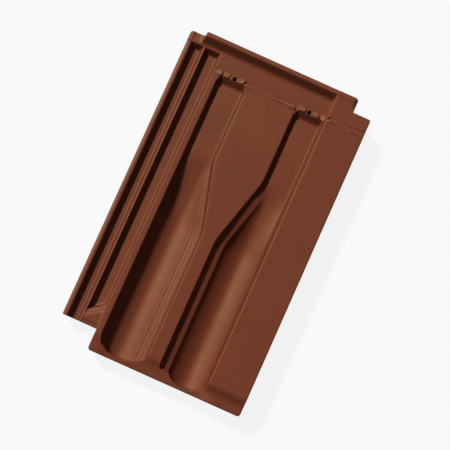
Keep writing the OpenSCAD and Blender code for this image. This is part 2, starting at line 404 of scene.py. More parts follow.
@dataclass
class PlanGrid:
    """The plan of the tile as a bent grid, whose lines follow the panel's edges and the troughs' ends.

    The cells of the corners that the neighbours leave out, and of the nail holes, are not kept.
    """

    sizes: TileSizes
    hole_reach: tuple[int, int] = (4, 10)
    arc_rows: tuple[float, float, float, float] = (400.0, 410.0, 414.0, 423.2)
    arc_cells: tuple[int, int, int, int] = (3, 7, 11, 6)
    round_slack: float = 0.0001
    outline_slack: float = 0.1
    least_ring: float = 1e-6
    across: Array = field(init=False)
    along: Array = field(init=False)
    kept: Array = field(init=False)
    corners: tuple[RoundCorner, ...] = field(init=False)

    def __post_init__(self) -> None:
        """Lays out the grid, rounds its corners and opens its holes."""
        sizes = self.sizes
        self.corners = (
            RoundCorner(0.0, sizes.lock_corner[1], (1, 1), 4.0),
            RoundCorner(sizes.lock_corner[0], 0.0, (1, 1), 3.0),
            RoundCorner(sizes.cover_corner[0], 0.0, (-1, 1), 2.0),
            RoundCorner(sizes.width, sizes.cover_corner[1], (-1, 1), 3.0),
            RoundCorner(sizes.width, sizes.length, (-1, -1), 4.0),
            RoundCorner(sizes.foot_corner[0], sizes.length, (1, -1), 4.0),
            RoundCorner(0.0, sizes.foot_corner[1], (1, -1), 2.0),
        )
        columns, rows = self._columns(), self._rows()
        wide = spread([line.wide for line in columns], [line.cells for line in columns])
        narrow = spread([line.narrow for line in columns], [line.cells for line in columns])
        level = spread([line.wide for line in rows], [line.cells for line in rows])
        self.across = mix(wide[None, :], narrow[None, :], sizes.taper(level)[:, None])
        self.along = self._follow_foot_arc(level)
        self.kept = self._kept_cells(wide, level)
        for corner in self.corners:
            self._round(corner)
        for place in sizes.nail_places:
            self._open_hole(wide, level, place)

    def _columns(self) -> list[Line]:
        """Lists the lines along the tile, which crowd where the section bends.

        Returns:
            The lines from the lock edge to the cover edge.
        """
        sizes = self.sizes
        lock = [
            *edge_lines(0.0, 1), fixed(4.0, 3), fixed(8.2, 7), fixed(9.6, 3), fixed(17.6, 3), fixed(18.6, 2),
            *edge_lines(sizes.lock_corner[0], 1), fixed(22.2, 2), fixed(26.2, 8), fixed(28.0, 4),
            fixed(41.4, 13), fixed(44.4, 5), fixed(45.4, 1), fixed(46.2, 2),
            *edge_lines(sizes.foot_corner[0], 1), fixed(51.0, 2), fixed(55.2, 5), fixed(56.0, 1),
            fixed(58.0, 4),
        ]
        troughs = [
            Line(60.0, 62.0, 3), Line(62.5, 64.5, 3), Line(86.0, 103.4, 25), Line(88.4, 106.6, 4),
            Line(89.2, 113.4, 4), Line(91.4, 115.7, 4), Line(93.2, 117.4, 3), Line(96.0, 120.2, 6),
            Line(158.16, 133.96, 8), Line(160.96, 136.76, 6), Line(162.76, 138.46, 3),
            Line(164.96, 140.76, 4), Line(165.76, 147.56, 4), Line(168.16, 150.76, 4),
            Line(192.2, 193.0, 25), fixed(195.4, 3),
        ]
        cover = [
            fixed(196.3, 2), fixed(198.3, 5), fixed(200.6, 3), fixed(203.8, 6), fixed(205.2, 2),
            fixed(205.9, 1), fixed(206.4, 2), fixed(208.0, 1), fixed(216.1, 2), fixed(218.4, 3),
            fixed(222.6, 2), fixed(224.9, 3), fixed(226.2, 3), *edge_lines(sizes.cover_corner[0], -1),
            fixed(231.0, 2),
            fixed(237.3, 2), fixed(239.6, 3), fixed(243.9, 2), fixed(246.2, 3), fixed(250.4, 2),
            *edge_lines(sizes.width, -1),
        ]
        return [*lock, *troughs, *cover]

    def _rows(self) -> list[Line]:
        """Lists the lines across the tile, which crowd at the band, the taper and the foot.

        Returns:
            The lines from the head edge to the foot edge.
        """
        sizes = self.sizes
        head = [
            *edge_lines(0.0, 1), fixed(3.6, 2), *edge_lines(sizes.lock_corner[1], 1), fixed(8.0, 2),
            fixed(12.5, 4), fixed(18.0, 7), *edge_lines(sizes.cover_corner[1], 1),
            fixed(27.0, 6), fixed(28.5, 2), fixed(31.5, 2), fixed(32.4, 4), fixed(35.0, 2),
            fixed(46.0, 22), fixed(52.0, 7), fixed(56.0, 3), fixed(60.0, 1),
        ]
        foot = [
            fixed(138.0, 8), fixed(152.0, 6), fixed(244.0, 32), fixed(256.0, 4), fixed(352.0, 9),
            fixed(362.0, 5), fixed(395.4, 28), *edge_lines(sizes.foot_corner[1], -1),
            *map(fixed, self.arc_rows, self.arc_cells), *edge_lines(sizes.length, -1),
        ]
        return [*head, *foot]

    def _follow_foot_arc(self, level: Array) -> Array:
        """Bends the last rows so that they run along the troughs' ends.

        Args:
            level: Places of the straight rows.

        Returns:
            The place of each grid point along the tile.
        """
        start, before, after, end = self.arc_rows
        half = (after - before) / 2.0
        arc = self.sizes.foot_arc(self.across)
        row = np.broadcast_to(level[:, None], arc.shape)
        near = mix(start, arc - half, (row - start) / (before - start))
        far = mix(arc + half, end, (row - after) / (end - after))
        bent = np.where(row < before, near, np.where(row > after, far, arc - half + row - before))
        return np.where((row > start) & (row < end), bent, row)

    def _kept_cells(self, wide: Array, level: Array) -> Array:
        """Marks the cells that belong to the tile.

        Args:
            wide: Places of the columns where the panel is wide.
            level: Places of the straight rows.

        Returns:
            True for each cell that is kept.
        """
        sizes = self.sizes
        across = (0.5 * (wide[1:] + wide[:-1]))[None, :]
        along = (0.5 * (level[1:] + level[:-1]))[:, None]
        left_out = (across < sizes.lock_corner[0]) & (along < sizes.lock_corner[1])
        left_out |= (across > sizes.cover_corner[0]) & (along < sizes.cover_corner[1])
        left_out |= (across < sizes.foot_corner[0]) & (along > sizes.foot_corner[1])
        return ~left_out

    def _round(self, corner: RoundCorner) -> None:
        """Bends the grid's square corner to a quarter circle.

        Within the corner's own square each share is multiplied by the root of one less half the square
        of the other share, which takes the square's outer sides to the circle.

        Args:
            corner: The corner to round.
        """
        ways, radius = corner.inward, corner.radius
        middle = (corner.across + ways[0] * radius, corner.along + ways[1] * radius)
        first = (middle[0] - self.across) * ways[0] / radius
        second = (middle[1] - self.along) * ways[1] / radius
        limit = 1.0 + self.round_slack
        inside = (first > 0.0) & (second > 0.0) & (first < limit) & (second < limit)
        first, second = np.where(inside, first, 0.0), np.where(inside, second, 0.0)
        across = middle[0] - ways[0] * radius * first * np.sqrt(1.0 - 0.5 * second**2)
        along = middle[1] - ways[1] * radius * second * np.sqrt(1.0 - 0.5 * first**2)
        self.across = np.where(inside, across, self.across)
        self.along = np.where(inside, along, self.along)

    def _open_hole(self, wide: Array, level: Array, place: float) -> None:
        """Bends the grid round a nail hole and leaves the cells inside it out.

        Square rings of the grid are bent to circles up to the hole's edge, and blend back to squares
        after it.

        Args:
            wide: Places of the columns where the panel is wide.
            level: Places of the straight rows.
            place: Place of the hole across the tile.
        """
        columns, rows = self.hole_reach
        column = int(np.argmin(np.abs(wide - place)))
        row = int(np.argmin(np.abs(level - self.sizes.nail_line)))
        block = np.s_[row - rows : row + rows + 1, column - columns : column + columns + 1]
        first = np.linspace(-1.0, 1.0, 2 * columns + 1)[None, :]
        second = np.linspace(-1.0, 1.0, 2 * rows + 1)[:, None]
        ring = np.maximum(np.abs(first), np.abs(second))
        scale = np.maximum(ring, self.least_ring)
        first, second = first / scale, second / scale
        circle = first * np.sqrt(1.0 - 0.5 * second**2), second * np.sqrt(1.0 - 0.5 * first**2)
        square = first * (wide[column + columns] - place), second * (level[row + rows] - self.sizes.nail_line)
        hole = self.sizes.nail_radius * np.minimum(2.0 * ring, 1.0)
        outward = np.maximum(2.0 * ring - 1.0, 0.0)
        self.across[block] = place + mix(hole * circle[0], square[0], outward)
        self.along[block] = self.sizes.nail_line + mix(hole * circle[1], square[1], outward)
        half = rows // 2, columns // 2
        self.kept[row - half[0] : row + half[0], column - half[1] : column + half[1]] = False

    def edge_distance(self) -> Array:
        """Distance of each grid point from the outline of the tile.

        Returns:
            The distance, 0 on the outline and outside it.
        """
        sizes = self.sizes
        across, along = self.across, self.along
        reach = np.minimum(np.minimum(across, sizes.width - across), np.minimum(along, sizes.length - along))
        gaps = (
            (across - sizes.lock_corner[0], along - sizes.lock_corner[1]),
            (sizes.cover_corner[0] - across, along - sizes.cover_corner[1]),
            (across - sizes.foot_corner[0], sizes.foot_corner[1] - along),
        )
        for gap in gaps:
            reach = np.minimum(reach, np.hypot(np.maximum(gap[0], 0.0), np.maximum(gap[1], 0.0)))
        for corner in self.corners:
            first = corner.radius - (across - corner.across) * corner.inward[0]
            second = corner.radius - (along - corner.along) * corner.inward[1]
            limit = corner.radius + self.outline_slack
            inside = (first > 0.0) & (second > 0.0) & (first < limit) & (second < limit)
            reach = np.where(inside, np.minimum(reach, corner.radius - np.hypot(first, second)), reach)
        return np.maximum(reach, 0.0)


def edge_round(distance: Array, radius: float) -> Array:
    """How far a rounded edge lies under its face: a quarter circle that meets the face tangentially.

    Args:
        distance: Distance from the edge.
        radius: Radius of the rounding.

    Returns:
        The drop at each distance.
    """
    inward = np.maximum(radius - distance, 0.0)
    return radius - np.sqrt(radius**2 - inward**2)


class Bar(NamedTuple):
    """A weather bar across the face: its ends across the tile and its start and crest along it."""

    start: float
    end: float
    head: float
    crest: float


class Wing(NamedTuple):
    """A ramp beside a nail hole: where it starts to rise, its crest, the crest's slant, and its height."""

    start: float
    crest: float
    slant: float
    rise: float


@dataclass(frozen=True)
class Reliefs:
    """The low reliefs below the band: weather bars, and the wings and seats of the nail bosses."""

    sizes: TileSizes
    bars: tuple[Bar, ...] = (
        Bar(46.8, 57.0, 37.4, 42.6),
        Bar(89.0, 102.5, 38.8, 43.2),
        Bar(125.0, 156.5, 38.8, 43.4),
        Bar(204.5, 211.0, 36.6, 42.4),
        Bar(231.5, 252.0, 37.0, 42.8),
    )
    bar_rise: float = 0.8
    bar_flanks: tuple[float, float] = (0.8, 0.7)
    wings: tuple[Wing, ...] = (
        Wing(50.0, 58.4, 0.37, 2.0),
        Wing(59.5, 68.6, 0.0, 1.8),
        Wing(79.0, 87.8, -0.42, 1.8),
        Wing(151.0, 158.4, 0.66, 2.2),
        Wing(161.5, 173.0, 0.0, 2.0),
        Wing(182.0, 192.0, 0.55, 2.2),
        Wing(193.5, 200.8, -0.56, 2.2),
    )
    wing_span: tuple[float, float] = (38.0, 44.0)
    wing_flank: float = 2.4
    wing_drop: float = 0.9
    seat: Step = Step(5.2, -0.9, 0.4)
    seat_dip: Step = Step(3.9, -1.0, 0.3)

    def heights(self, across: Array, along: Array) -> Array:
        """Heights of the reliefs over the skin.

        A bar is sunk at its head side, rises to a crest and drops back to the face.

        Args:
            across: Distance from the lock edge.
            along: Distance from the head edge.

        Returns:
            The height to add to the skin.
        """
        relief = np.zeros_like(across)
        for bar in self.bars:
            climb = np.clip((along - bar.head) / (bar.crest - bar.head), 0.0, 1.0)
            profile = (2.0 * climb - 1.0) * plateau(along, bar.head, bar.crest, self.bar_flanks[1])
            ends = plateau(across, bar.start, bar.end, self.bar_flanks[0])
            relief = relief + self.bar_rise * profile * ends
        for wing in self.wings:
            crest = wing.crest + wing.slant * (along - self.sizes.nail_line)
            climb = np.clip((across - wing.start) / (crest - wing.start), 0.0, 1.0)
            past = ease((across - crest) / self.wing_drop)
            ends = plateau(along, *self.wing_span, self.wing_flank)
            relief = relief + wing.rise * climb * (1.0 - past) * ends
        for place in self.sizes.nail_places:
            distance = np.hypot(across - place, along - self.sizes.nail_line)
            relief = relief + self.seat.at(distance) - self.seat_dip.at(distance)
        return relief


@dataclass(frozen=True)
class ChannelEnds:
    """The closed ends of the lock's channels: a slope at the head, a slanted wall at the inner one's foot."""

    sizes: TileSizes
    head_fall: Slope = Slope(17.0, 0.08, 1.0)
    head_wall: Slope = Slope(18.3, 1.3, 0.8)
    slant: tuple[float, float] = (0.57, 0.82)
    slant_start: tuple[float, float] = (21.0, 379.5)
    side_start: float = 42.0
    side_slope: float = 1.6
    side_back: Slope = Slope(362.0, 0.4, 6.0)
    bend_round: float = 5.0
    wall_slope: float = 2.0
    top_rise: float = 6.4
    top_slope: float = 0.12
    top_round: float = 2.0
    ridge: Step = Step(8.3, 1.6, 0.6)
    foot_drop: Step = Step(391.8, 1.2, 0.8)
    outer_limit: Slope = Slope(23.4, 2.0, 0.6)
    inner_limit: Slope = Slope(45.8, 6.0, 0.4)
    limit_round: float = 0.6

    def heights(self, across: Array, along: Array) -> Array:
        """Heights of the closing walls.

        Args:
            across: Distance from the lock edge.
            along: Distance from the head edge.

        Returns:
            The heights, far down where there are no walls.
        """
        sizes = self.sizes
        head = sizes.rim - self.head_fall.before(along) - self.head_wall.after(along)
        ways = across - self.slant_start[0], along - self.slant_start[1]
        slanted = self.slant[0] * ways[0] + self.slant[1] * ways[1]
        beside = self.side_slope * (across - self.side_start) - self.side_back.before(along)
        past = upper_of(slanted, beside, self.bend_round)
        top = sizes.channel + self.top_rise + self.top_slope * past
        wall = lower_of(sizes.channel + self.wall_slope * past, top, self.top_round) + self.ridge.at(past)
        limit = sizes.rim - self.foot_drop.at(along)
        limit = limit - self.outer_limit.before(across) - self.inner_limit.after(across)
        return np.maximum(head, lower_of(wall, limit, self.limit_round))


@dataclass(frozen=True)
class HeadRim:
    """The head rim, which slopes down to the band and ends in a slope beside the lock."""

    sizes: TileSizes
    edge_fall: Slope = Slope(4.6, 0.34, 1.2)
    band_fall: Slope = Slope(5.4, 1.0, 0.8)
    lock_start: float = 17.2
    lock_slope: float = 2.4
    lock_fall: float = 0.12
    lock_round: float = 0.8

    def heights(self, across: Array, along: Array) -> Array:
        """Heights of the rim.

        Args:
            across: Distance from the lock edge.
            along: Distance from the head edge.

        Returns:
            The heights, far down outside the rim.
        """
        sizes = self.sizes
        rim = sizes.head - self.edge_fall.before(along) - self.band_fall.after(along)
        beside_lock = sizes.rim + self.lock_slope * (across - self.lock_start) - self.lock_fall * along
        return lower_of(rim, beside_lock, self.lock_round)


@dataclass(frozen=True)
class Troughs:
    """The two troughs: flat floors with sloping walls, round hollows that sink into them, and end walls."""

    sizes: TileSizes
    brim_drop: float = 0.3
    lock_flare: tuple[float, float] = (5.0, 2.0)
    cover_flare: tuple[float, float] = (20.0, 10.0)
    ledge_gap: float = 3.5
    ledge_tops: tuple[float, float] = (0.3, 2.2)
    ledge_tilt: float = 0.2
    crown: float = 0.5
    soft_start: float = 0.1
    cover_power: float = 1.1
    least_sag: float = 0.02
    creasing: Step = Step(190.0, 60.0)
    flank: Bowl = Bowl(0.2, 0.45)
    flank_edge: float = 0.16
    steep_power: int = 4
    steep_cap: float = 1.3
    rise: Bowl = Bowl(0.35, 0.72)
    brink_round: float = 0.5
    head_end: Slope = Slope(51.0, 0.95, 1.6)
    spoon: Step = Step(74.0, -14.0)
    spoon_reach: float = 3.5
    foot_slopes: tuple[float, float] = (8.0, 1.8)
    foot_rounds: tuple[float, float] = (0.6, 1.6)

    def heights(self, across: Array, along: Array) -> Array:
        """Heights of the troughs' cut. The lock-side one ends at the foot like a spoon beside its outer wall.

        Args:
            across: Distance from the lock edge.
            along: Distance from the head edge.

        Returns:
            The heights, which rise past the face between and beside the troughs.
        """
        cut = self._floors(across, along)
        for side in Side:
            cut = cut - self._hollow(side, across, along)
        cut = cut + self.head_end.before(along)
        spoon = self.spoon.at(across)
        past = along - self.sizes.foot_arc(across) + self.spoon_reach * spoon
        return cut + mix(*self.foot_slopes, spoon) * hinge(past, mix(*self.foot_rounds, spoon))

    def _floors(self, across: Array, along: Array) -> Array:
        """The section without hollows: walls, flat floors, ledges, and the panel's walls between them.

        Args:
            across: Distance from the lock edge.
            along: Distance from the head edge.

        Returns:
            The heights of the section.
        """
        sizes = self.sizes
        share = sizes.taper(along)
        half = mix(sizes.panel_half, sizes.rib_half, share)
        foot = sizes.panel_foot(share)
        brim = sizes.face - self.brim_drop - sizes.settled(along)
        floors = [mix(sizes.floor, low, share) - sizes.settled(along) for low in sizes.low_floors]
        ledges = [
            floor + rise * sizes.ledge_share(side, share)
            for side, floor, rise in zip(Side, floors, sizes.ledge_rises)
        ]
        lock_end = sizes.hollow_span(Side.LOCK, share)[1]
        cover_start = sizes.hollow_span(Side.COVER, share)[0]
        ledge_top = sizes.panel - foot - self.ledge_tops[0] - self.ledge_tops[1] * share
        return bent_line(
            across,
            (
                Corner(sizes.trough_wall - self.lock_flare[0], brim + self.lock_flare[1]),
                Corner(sizes.trough_wall, brim, 0.8),
                Corner(sizes.trough_foot, floors[0], 0.9),
                Corner(lock_end + self.ledge_gap * share, floors[0], 0.8),
                Corner(ledge_top, ledges[0], 1.0),
                Corner(sizes.panel - foot, ledges[0] + self.ledge_tilt * share, 0.7),
                Corner(sizes.panel - half, brim, 0.6),
                Corner(sizes.panel, brim + self.crown * half, 0.5),
                Corner(sizes.panel + half, brim, 0.6),
                Corner(sizes.panel + foot, ledges[1], 1.0),
                Corner(cover_start, floors[1], 0.8),
                Corner(sizes.cover_foot, floors[1], 0.9),
                Corner(sizes.cover_edge, sizes.cover - self.brim_drop, 0.7),
                Corner(sizes.cover_edge + self.cover_flare[0], sizes.cover + self.cover_flare[1]),
            ),
        )

    def _steepened(self, share: Array) -> Array:
        """A flank that is flat at the bottom and steep at the top: a power of the share."""
        return np.minimum(share, self.steep_cap) ** self.steep_power

    def _hollow(self, side: Side, across: Array, along: Array) -> Array:
        """Depth of a round hollow under its floor.

        The lock-side one starts softly with a flat bottom, which turns into a crease further down.

        Args:
            side: The trough's side of the tile.
            across: Distance from the lock edge.
            along: Distance from the head edge.

        Returns:
            The depth, 0 outside the hollow.
        """
        sizes = self.sizes
        share = sizes.taper(along)
        start, end = sizes.hollow_span(side, share)
        bottom = sizes.bottoms[side.value]
        sunk, creased = share**self.cover_power, 1.0
        if side is Side.LOCK:
            sunk = hinge(sizes.sunk(along) - self.soft_start, self.soft_start) / (1.0 - self.soft_start)
            creased = self.creasing.at(along)
        sag = np.maximum(sizes.sags[side.value] * sunk, self.least_sag)
        before = np.maximum(bottom - across, 0.0) / (bottom - start)
        after = np.maximum(across - bottom, 0.0) / (end - bottom)
        crease = self.flank.at(before)
        crease = mix(crease, self._steepened(crease), self.flank_edge)
        flank = mix(self._steepened(before), crease, creased)
        depth = sag * (1.0 - flank - self.rise.at(after))
        return hinge(depth, self.brink_round * np.minimum(sag, 1.0))


@dataclass(frozen=True)
class Face:
    """The upper skin: lock channels, strip, troughs, panel, cover, head rim, band, bosses and foot lip."""

    sizes: TileSizes
    edge_radius: float = 1.3
    band_round: float = 0.5
    trough_round: float = 0.6
    channel_round: float = 0.9
    head_round: float = 2.6
    end_round: float = 0.6
    end_rise: float = 0.6
    end_fall: Slope = Slope(225.0, 2.3, 0.6)
    end_climb: Slope = Slope(12.0, 1.7, 2.0)
    lip_climb: Step = Step(190.0, 24.0)
    lip_corner: Step = Step(76.0, -20.0, 2.0)
    lip_fall: Slope = Slope(414.0, 0.09, 2.0)
    nose: Step = Step(400.5, 14.5)
    nose_margin: float = 0.5
    band_start: float = 15.0
    band_tilt: float = 0.12
    boss_spans: tuple[tuple[float, float], tuple[float, float]] = ((59.0, 87.0), (159.5, 200.0))
    boss_depth: float = 9.0
    boss_flank: float = 2.4
    riser_slope: float = 3.0
    riser_round: float = 0.5

    def heights(self, across: Array, along: Array, edge: Array) -> Array:
        """Heights of the skin: the lowest of its cuts and the highest of its rims, rounded where they cross.

        Args:
            across: Distance from the lock edge.
            along: Distance from the head edge.
            edge: Distance from the outline.

        Returns:
            The heights above the floor.
        """
        sizes = self.sizes
        height = lower_of(self._foot(across, along), self._band(across, along), self.band_round)
        height = height + Reliefs(sizes).heights(across, along)
        height = lower_of(height, Troughs(sizes).heights(across, along), self.trough_round)
        height = upper_of(height, ChannelEnds(sizes).heights(across, along), self.channel_round)
        height = upper_of(height, HeadRim(sizes).heights(across, along), self.head_round)
        height = lower_of(height, self._cover_end(across, along), self.end_round)
        return height - edge_round(edge, self.edge_radius)

    def _cover_end(self, across: Array, along: Array) -> Array:
        """The end of the rim and the cover, which slopes down to the corner that is left out."""
        corner = np.minimum(across, self.sizes.cover_corner[0])
        return self.sizes.cover + self.end_rise - self.end_fall.after(corner) + self.end_climb.after(along)

    def _plain(self, across: Array, along: Array) -> Array:
        """The section without troughs: lock channels, face and raised cover.

        Args:
            across: Distance from the lock edge.
            along: Distance from the head edge.

        Returns:
            The heights of the section.
        """
        sizes = self.sizes
        face = sizes.face - sizes.settled(along)
        return bent_line(
            across,
            (
                Corner(0.0, sizes.rim - 1.5), Corner(2.9, sizes.rim, 2.0), Corner(4.9, sizes.rim, 1.2),
                Corner(7.1, sizes.rim - 0.8, 0.8), Corner(8.6, sizes.channel + 0.3, 0.7),
                Corner(19.75, sizes.channel - 0.3, 1.1), Corner(23.1, sizes.rim - 0.5, 0.7),
                Corner(24.3, sizes.rim, 0.8), Corner(25.7, sizes.rim - 0.2, 0.6),
                Corner(27.25, sizes.channel, 0.7), Corner(43.3, sizes.channel, 1.0),
                Corner(sizes.strip, face - 0.3, 0.6), Corner(47.1, face, 0.6),
                Corner(199.67, face, 0.6), Corner(sizes.cover_edge, sizes.cover, 0.9),
                Corner(sizes.width, sizes.cover),
            ),
        )

    def _foot(self, across: Array, along: Array) -> Array:
        """The plain section, which eases down to the level lip at the foot.

        Args:
            across: Distance from the lock edge.
            along: Distance from the head edge.

        Returns:
            The heights with the nose of the foot.
        """
        sizes = self.sizes
        plain = self._plain(across, along)
        lip = mix(*sizes.lips, self.lip_climb.at(across)) - self.lip_fall.after(along)
        lip = lip + self.lip_corner.at(across)
        share = np.where(across < sizes.strip - self.nose_margin, 0.0, self.nose.at(along))
        return mix(plain, np.minimum(plain, lip), share)

    def _band(self, across: Array, along: Array) -> Array:
        """The sunk band at the head, with its wall up to the cover and its riser up to the panel.

        The riser steps back towards the foot where the nail bosses stand.

        Args:
            across: Distance from the lock edge.
            along: Distance from the head edge.

        Returns:
            The heights of the band's cut.
        """
        sizes = self.sizes
        level = bent_line(
            across,
            (
                Corner(0.0, sizes.rim + 50.0), Corner(44.0, sizes.rim + 1.0, 1.0),
                Corner(45.0, sizes.rim, 0.5), Corner(196.4, sizes.rim, 0.5),
                Corner(198.2, sizes.rim + 1.1, 0.5),
                Corner(202.0, sizes.cover - 1.2, 0.5), Corner(205.0, sizes.cover + 1.0),
            ),
        )
        level = level + self.band_tilt * (sizes.band_end - np.clip(along, self.band_start, sizes.band_end))
        riser = np.full_like(across, sizes.band_end)
        for start, end in self.boss_spans:
            riser = riser + self.boss_depth * plateau(across, start, end, self.boss_flank)
        return level + self.riser_slope * hinge(along - riser, self.riser_round)


@dataclass(frozen=True)
class Underside:
    """The lower skin: flat plate, round backs of the troughs, hanging nibs and the hollow under the cover."""

    sizes: TileSizes
    edge_radius: float = 0.9
    start_lift: float = 1.0
    back_round: float = 1.2
    back_end: float = 4.5
    back_last: float = 423.5
    back_slope: float = 4.0
    back_end_round: float = 1.0
    nib_half: float = 17.0
    nib_span: tuple[float, float, float] = (15.5, 21.0, 32.0)
    nib_foot_round: float = 0.6
    nib_face: tuple[float, float] = (24.0, 0.2)
    nib_sides: tuple[float, float] = (8.0, 0.4)
    nib_round: float = 0.5
    lap_ribs: tuple[float, float] = (220.5, 241.75)
    lap_rib_half: float = 2.5
    lap_rib_flank: float = 1.3
    lap_tip: float = 19.5
    lap_start: float = 206.2
    lap_wall: tuple[float, float] = (30.0, 0.15)

    def heights(self, across: Array, along: Array, edge: Array) -> Array:
        """Heights of the skin: the lowest of the plate, backs and nibs, cut up to the hollow of the lap.

        Args:
            across: Distance from the lock edge.
            along: Distance from the head edge.
            edge: Distance from the outline.

        Returns:
            The heights above the floor.
        """
        sizes = self.sizes
        height = bent_line(
            across,
            (
                Corner(0.0, sizes.lock_back), Corner(45.3, sizes.lock_back, 0.4),
                Corner(sizes.strip, sizes.plate, 0.4), Corner(sizes.width, sizes.plate),
            ),
        )
        for side in Side:
            height = lower_of(height, self._back(side, across, along), self.back_round)
        for place in sizes.nail_places:
            height = lower_of(height, self._nib(place, across, along), self.nib_round)
        height = np.maximum(height, self._lap(across, along))
        return np.maximum(height, 0.0) + edge_round(edge, self.edge_radius)

    def _back(self, side: Side, across: Array, along: Array) -> Array:
        """The round back of a trough, a wall's thickness under its hollow.

        Args:
            side: The trough's side of the tile.
            across: Distance from the lock edge.
            along: Distance from the head edge.

        Returns:
            The heights of the back.
        """
        sizes = self.sizes
        start, end = sizes.hollow_span(side, np.array(1.0))
        reach, sag = 0.5 * (end - start), sizes.sags[Side.LOCK.value]
        radius = (reach**2 + sag**2) / (2.0 * sag) + sizes.wall
        offset = np.clip(across - 0.5 * (start + end), -radius, radius)
        low = (sizes.plate + self.start_lift) * (1.0 - sizes.sunk(along))
        arc = low + radius - np.sqrt(radius**2 - offset**2)
        last = np.minimum(sizes.foot_arc(across) + self.back_end, self.back_last)
        return arc + self.back_slope * hinge(along - last, self.back_end_round)

    def _nib(self, place: float, across: Array, along: Array) -> Array:
        """A hanging nib: a sloping back, a level foot and an upright face to the batten.

        Args:
            place: Middle of the nib across the tile.
            across: Distance from the lock edge.
            along: Distance from the head edge.

        Returns:
            The heights of the nib.
        """
        start, foot, batten = self.nib_span
        slope = (self.sizes.plate + self.start_lift) / (foot - start)
        back = Slope(foot, slope, self.nib_foot_round).before(along)
        beside = Slope(self.nib_half, *self.nib_sides).after(np.abs(across - place))
        return back + Slope(batten, *self.nib_face).after(along) + beside

    def _lap(self, across: Array, along: Array) -> Array:
        """The hollow under the cover, with two ribs that hang in the next tile's channels.

        Args:
            across: Distance from the lock edge.
            along: Distance from the head edge.

        Returns:
            The heights of the hollow's roof, far down outside it.
        """
        sizes = self.sizes
        roof = np.full_like(across, sizes.lap)
        for rib in self.lap_ribs:
            start, end = rib - self.lap_rib_half, rib + self.lap_rib_half
            roof = roof - (sizes.lap - self.lap_tip) * plateau(across, start, end, self.lap_rib_flank)
        roof = roof - Slope(self.lap_start, *self.lap_wall).before(across)
        return roof - Slope(sizes.foot_corner[1], *self.lap_wall).after(along)


